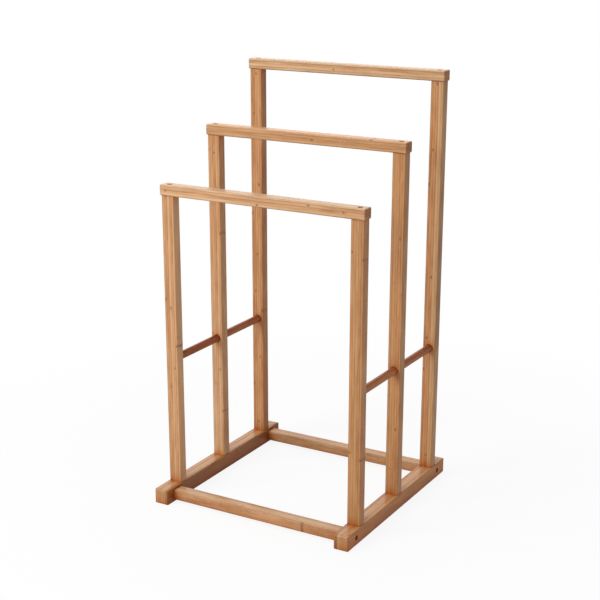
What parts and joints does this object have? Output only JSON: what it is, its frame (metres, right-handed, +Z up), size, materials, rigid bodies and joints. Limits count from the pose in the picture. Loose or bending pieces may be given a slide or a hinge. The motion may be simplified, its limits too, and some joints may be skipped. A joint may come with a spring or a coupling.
{
  "type": "freestanding towel stand",
  "caption": "Freestanding bamboo towel stand: stepped towel rails on paired uprights, which stand on floor runners tied by stretchers and braced by side dowels.",
  "frame": {"origin": "on the floor, at the centre of the footprint", "axes": "+Z up, +Y from the lowest rail at the front towards the highest at the rear, +X to the right as seen from the front"},
  "size_m": [0.424, 0.422, 0.82],
  "materials": {
    "bamboo": "satin lacquer over caramel laminated bamboo",
    "dowel_bamboo": "satin lacquer over darker turned bamboo",
    "screw_steel": "dull plated steel"
  },
  "bodies": {
    "root": {"runner_left": "bamboo", "upright_front_left": "bamboo", "upright_middle_left": "bamboo", "upright_rear_left": "bamboo", "side_dowel_front_left": "dowel_bamboo", "side_dowel_rear_left": "dowel_bamboo", "runner_right": "bamboo", "upright_front_right": "bamboo", "upright_middle_right": "bamboo", "upright_rear_right": "bamboo", "side_dowel_front_right": "dowel_bamboo", "side_dowel_rear_right": "dowel_bamboo", "rail_front": "bamboo", "rail_middle": "bamboo", "rail_rear": "bamboo", "stretcher_front": "bamboo", "stretcher_rear": "bamboo", "rail_screws": "screw_steel", "foot_screws": "screw_steel", "stretcher_screws": "screw_steel"}
  },
  "joints": []
}
